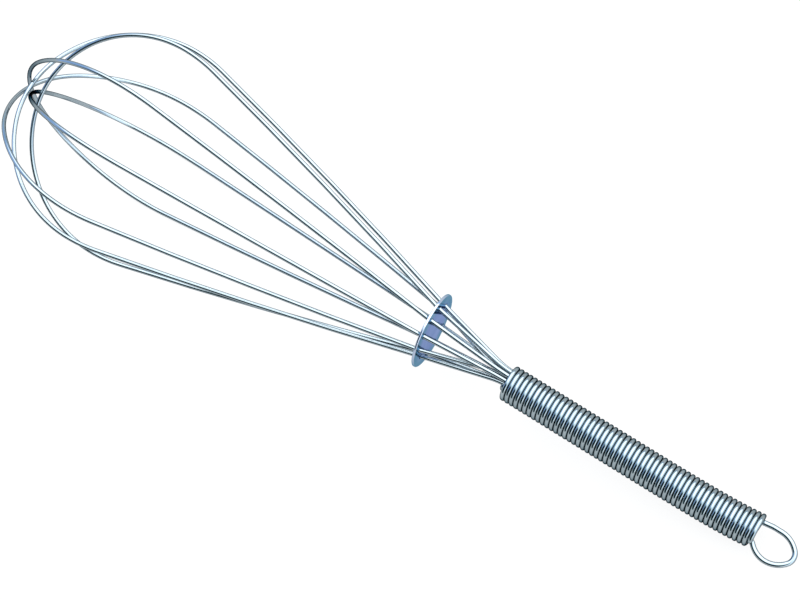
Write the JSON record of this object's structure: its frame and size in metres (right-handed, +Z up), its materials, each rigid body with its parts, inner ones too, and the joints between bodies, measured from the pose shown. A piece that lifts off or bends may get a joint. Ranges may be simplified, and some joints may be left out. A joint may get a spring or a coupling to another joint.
{
  "type": "dough whisk",
  "caption": "Balloon whisk of sprung steel wire loops spread by a round disc, with a close-coiled wire grip and a wire hanging eye.",
  "frame": {"origin": "on the surface the whisk lies on, under the middle of its outline", "axes": "+X along the whisk's length, from the tip of the balloon to the hanging eye; +Z up; the whisk lies on two of its wires and the end of its grip"},
  "size_m": [0.3022, 0.0782, 0.0762],
  "materials": {
    "balloon_wire": "bright drawn wire",
    "disc_plate": "polished sheet",
    "coil_wire": "bright drawn wire",
    "loop_wire": "bright drawn wire"
  },
  "bodies": {
    "root": {"wire_loop_1": "balloon_wire", "wire_loop_2": "balloon_wire", "wire_loop_3": "balloon_wire", "wire_loop_4": "balloon_wire", "wire_loop_5": "balloon_wire", "spreader_disc": "disc_plate", "grip_coil": "coil_wire", "hanging_loop": "loop_wire"}
  },
  "joints": []
}
